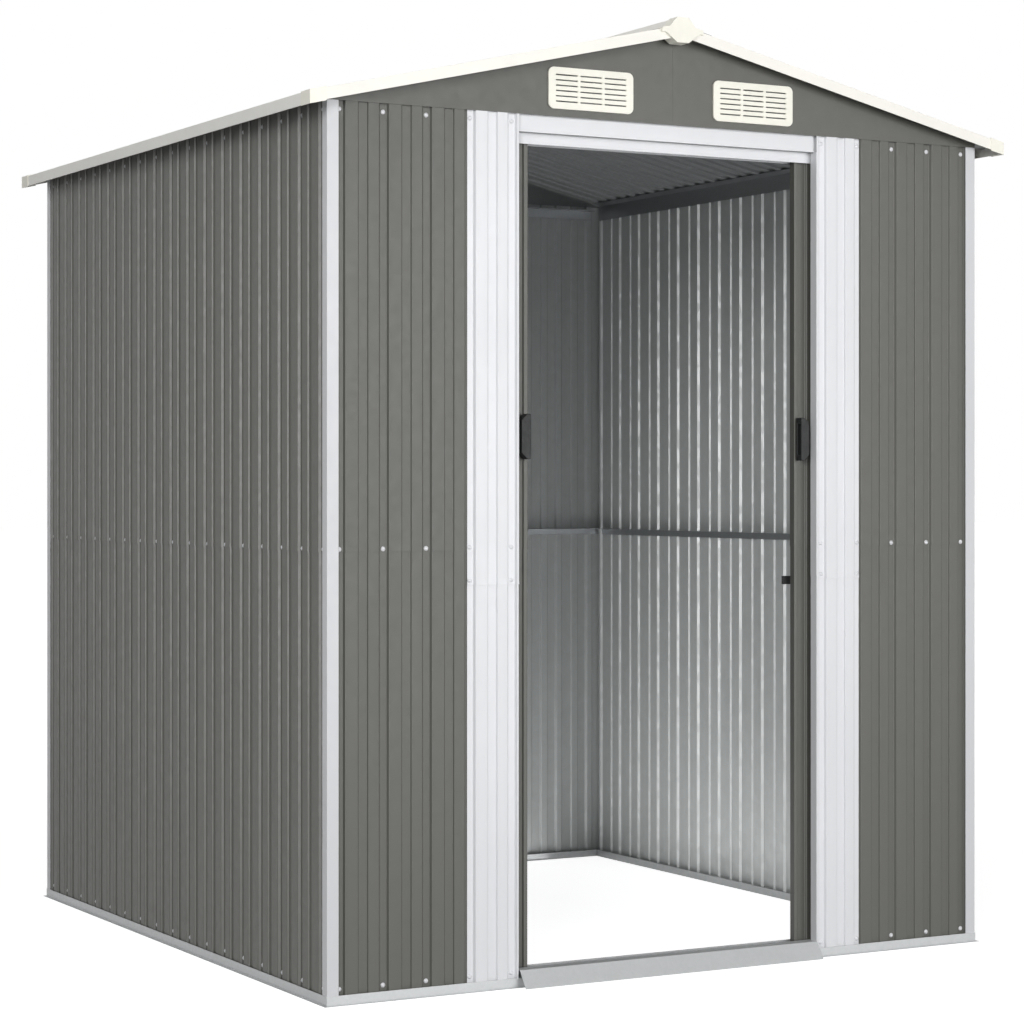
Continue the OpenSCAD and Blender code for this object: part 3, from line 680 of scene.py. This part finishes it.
# %% Ridge cap
cap_source = nodes["ridge_cap"].data
cap_points = np.empty(len(cap_source.vertices) * 3)
cap_source.vertices.foreach_get("co", cap_points)
cap_points = cap_points.reshape(-1, 3)
across = np.unique(cap_points[:, 0].round(5))
same_x = np.abs(cap_points[:, 0] - across[:, None]) < 0.00002
tops = np.where(same_x, cap_points[:, 2], -np.inf).max(1)
cap_line = rounded_line(np.stack([across, -tops], axis=1), 0.004)
cap_ends = (cap_points[:, 1].min(), cap_points[:, 1].max())
cap_shell = sheet_shell(cap_line, cap_ends, lambda s, d, u: (s, u, -d))
ridge_cap = put_piece("ridge_cap_folded", [cap_shell], "cream_paint", "shed", back=back_in_painted_shade)
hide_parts("ridge_cap")
print("ridge cap of", len(across), "corners")

# %% [markdown]
# ## Soft edges
# Folded trims, posts, tracks and mouldings have no razor edges: the fold or the mould leaves a
# small radius that catches the light. Each solid is copied, its loose triangles are merged and
# its flat faces joined, and a Bevel of a fraction of a millimetre rounds the edges. The gables
# are coated outside only, so their faces towards the room are bare; these faces and the head
# track's faces turned down and back get a darker bare finish, which is painted shade.

# %% Soft edges
def merged_copy(node):
    """A mesh like the solid's, with equal points merged and flat triangles joined into one face."""
    source = nodes[node].data
    points = np.empty(len(source.vertices) * 3)
    source.vertices.foreach_get("co", points)
    corners = np.empty(len(source.loops), int)
    source.loops.foreach_get("vertex_index", corners)
    points, same = np.unique(points.reshape(-1, 3).round(6), axis=0, return_inverse=True)
    mesh = bpy.data.meshes.new(node + "_edged")
    mesh.from_pydata(points.tolist(), [], same.ravel()[corners].reshape(-1, 3).tolist())
    work = bmesh.new()
    work.from_mesh(mesh)
    bmesh.ops.dissolve_limit(work, angle_limit=radians(0.5), verts=work.verts, edges=work.edges)
    work.to_mesh(mesh)
    work.free()
    return mesh


RIDERS = {"left_handle": "left_door", "right_handle": "right_door"}
BEVEL_STEPS = 2


def soft_edged(node, width):
    """The merged copy with a Bevel, in the place of the solid; faces along BARE_IN_PAINTED_SHADE get
    the darker bare finish, which is painted shade.
    """
    mesh = merged_copy(node)
    mesh.materials.append(own.get(node, finishes[slot_of[node]]))
    if node in BARE_IN_PAINTED_SHADE:
        mesh.materials.append(back_in_painted_shade)
        facing = np.empty(len(mesh.polygons) * 3)
        mesh.polygons.foreach_get("normal", facing)
        painted_shade = facing.reshape(-1, 3) @ np.array(BARE_IN_PAINTED_SHADE[node], float) > 0.6
        mesh.polygons.foreach_set("material_index", painted_shade.astype(np.int32))
    mesh.polygons.foreach_set("use_smooth", np.ones(len(mesh.polygons), bool))
    piece = bpy.data.objects.new(node + "_edged", mesh)
    bpy.context.scene.collection.objects.link(piece)
    bevel = piece.modifiers.new("soft_edge", "BEVEL")
    bevel.width = width
    bevel.segments = BEVEL_STEPS
    bevel.limit_method = "ANGLE"
    bevel.angle_limit = radians(20)
    bevel.harden_normals = True
    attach(piece, RIDERS.get(node, "shed"))
    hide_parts(node)
    return piece


GABLES = [node for node in slot_of if "gable" in node]
# Faces turned along these directions get painted shade: the gables' faces towards the room, and the
# head track's faces turned down and back.
BARE_IN_PAINTED_SHADE = {node: (0, 1 if "front" in node else -1, 0) for node in GABLES}
BARE_IN_PAINTED_SHADE["head_track"] = (0, 0.6, -0.8)
CORNERS = ("front_left", "front_right", "back_right", "back_left")
EDGES = {corner + "_post": 0.0004 for corner in CORNERS}
EDGES.update({corner + "_verge": 0.0004 for corner in CORNERS})
EDGES.update({side + "_base_rail": 0.0003 for side in ("front", "right", "back", "left")})
EDGES.update({
    "left_eave_trims": 0.00055, "right_eave_trims": 0.00055, "head_track": 0.0004,
    "floor_track": 0.0004, "door_ramp": 0.0004, "ridge_end_caps": 0.0012, "corner_caps": 0.0008,
    "front_vents": 0.0007, "back_vents": 0.0007, "left_handle": 0.0022, "right_handle": 0.0022,
})
EDGES.update({node: 0.0002 for node in GABLES})
edged = [soft_edged(node, width) for node, width in EDGES.items()]
print(len(edged), "pieces with soft edges")

# %% [markdown]
# ## Screws
# Every sheet is held by a row of small screws in its wide grooves: at the foot, at the lap and
# under the roof. They are white like the posts. A head is a profile turned round its axis, and a
# whole row is one array of heads, so a row of fifty costs one mesh.

# %% Screws
HEAD = np.array([
    [0.0056, 0.0], [0.0055, 0.0008], [0.0046, 0.0014], [0.0038, 0.0026], [0.0018, 0.0032]])
DRIVE = 0.0026
AROUND = 10
FOOT_ROW = 0.034
HEAD_ROW = 1.972
JAMB_ROWS = [0.928, 1.003]
CORNER_FREE = 0.875


def screw_heads(seats, out):
    """Points and faces of heads: ring k of a head is seat + r_k (cos a, sin a) + h_k along out.

    The last ring drops to the floor of a round socket, which closes the head; another face closes
    its foot.
    """
    seats = np.asarray(seats, float)
    out = np.asarray(out, float) / np.linalg.norm(out)
    side = np.cross(out, [0.31, 0.47, 0.83])
    side /= np.linalg.norm(side)
    up = np.cross(out, side)
    profile = np.concatenate([HEAD, [[HEAD[-1, 0] * 0.8, DRIVE]]])
    angle = np.arange(AROUND) * 2 * np.pi / AROUND
    ring = np.cos(angle)[:, None] * side + np.sin(angle)[:, None] * up
    local = profile[:, :1, None] * ring[None] + profile[:, 1:, None] * out
    points = seats[:, None, None, :] + local[None]
    rings = len(profile)
    base = (np.arange(len(seats)) * rings * AROUND)[:, None, None]
    low = base + (np.arange(rings - 1) * AROUND)[None, :, None] + np.arange(AROUND)
    turn = (np.arange(AROUND) + 1) % AROUND - np.arange(AROUND)
    quads = np.stack([low, low + turn, low + turn + AROUND, low + AROUND], axis=-1).reshape(-1, 4)
    foot = base[:, 0] + np.arange(AROUND)[::-1]
    top = base[:, 0] + (rings - 1) * AROUND + np.arange(AROUND)
    return points.reshape(-1, 3), quads, np.concatenate([foot, top])


def screws(name, rows, body):
    """One object of screw heads from rows of (seats, direction)."""
    shells = []
    for seats, out in rows:
        points, quads, caps = screw_heads(seats, out)
        shells.append((points, quads, np.zeros(len(quads), bool)))
        shells.append((np.empty((0, 3)), caps - len(points), np.zeros(len(caps), bool)))
    return put_piece(name, shells, "white_paint", body, smooth=50)


def wall_seats(wall, places, depth, heights):
    """Seats at every place and height on a wall, at one depth."""
    s, z = [g.ravel() for g in np.meshgrid(places, heights)]
    return np.stack(WALLS[wall](s, np.full(len(s), depth), z), axis=1)


OUT = {"front": (0, -1, 0), "right": (1, 0, 0), "back": (0, 1, 0), "left": (-1, 0, 0)}
GROOVES = np.arange(-8, 9) * RIB_PITCH
IN_UPPER = UPPER + GROOVE_DEEP
IN_LOWER = LOWER + GROOVE_DEEP
rows = []
for wall in ("left", "right", "back"):
    places = GROOVES + PHASE[wall]
    places = places[np.abs(places) < CORNER_FREE]
    rows.append((wall_seats(wall, places, IN_LOWER, [FOOT_ROW]), OUT[wall]))
    rows.append((wall_seats(wall, places, IN_UPPER, [LAP, HEAD_ROW]), OUT[wall]))
panel = np.array([-8, -7, -6, 6, 7, 8]) * RIB_PITCH + PHASE["front"]
rows.append((wall_seats("front", panel, IN_LOWER, [FOOT_ROW]), OUT["front"]))
rows.append((wall_seats("front", panel, IN_UPPER, [LAP, HEAD_ROW]), OUT["front"]))
jamb = np.array([-5, -4, 4, 5]) * RIB_PITCH
rows.append((wall_seats("front", jamb, LAYER + GROOVE_DEEP, [FOOT_ROW]), OUT["front"]))
rows.append((wall_seats("front", jamb, GROOVE_DEEP, JAMB_ROWS + [HEAD_ROW]), OUT["front"]))
screws("wall_screws", rows, "shed")
print("wall screws:", sum(len(seats) for seats, _ in rows))

# %% Roof and door screws
rows = []
for way in (-1, 1):
    s, u = [g.ravel() for g in np.meshgrid(GROOVES, [0.13, 0.5, EAVE - 0.06])]
    seats = np.stack(on_slope(way)(s, np.full(len(s), GROOVE_DEEP), u), axis=1)
    rows.append((seats, (way * np.sin(PITCH), 0, np.cos(PITCH))))
screws("roof_screws", rows, "shed")
for hand, way in (("left", -1), ("right", 1)):
    s, z = [g.ravel() for g in np.meshgrid(DOOR_IN + DOOR_PHASE + np.arange(4) * RIB_PITCH, [LAP])]
    seats = np.stack([way * s, np.full(len(s), DOOR_FRONT + GROOVE_DEEP - 0.9), z], axis=1)
    screws(f"{hand}_door_screws", [(seats, OUT["front"])], f"{hand}_door")
print("roof screws:", sum(len(seats) for seats, _ in rows))
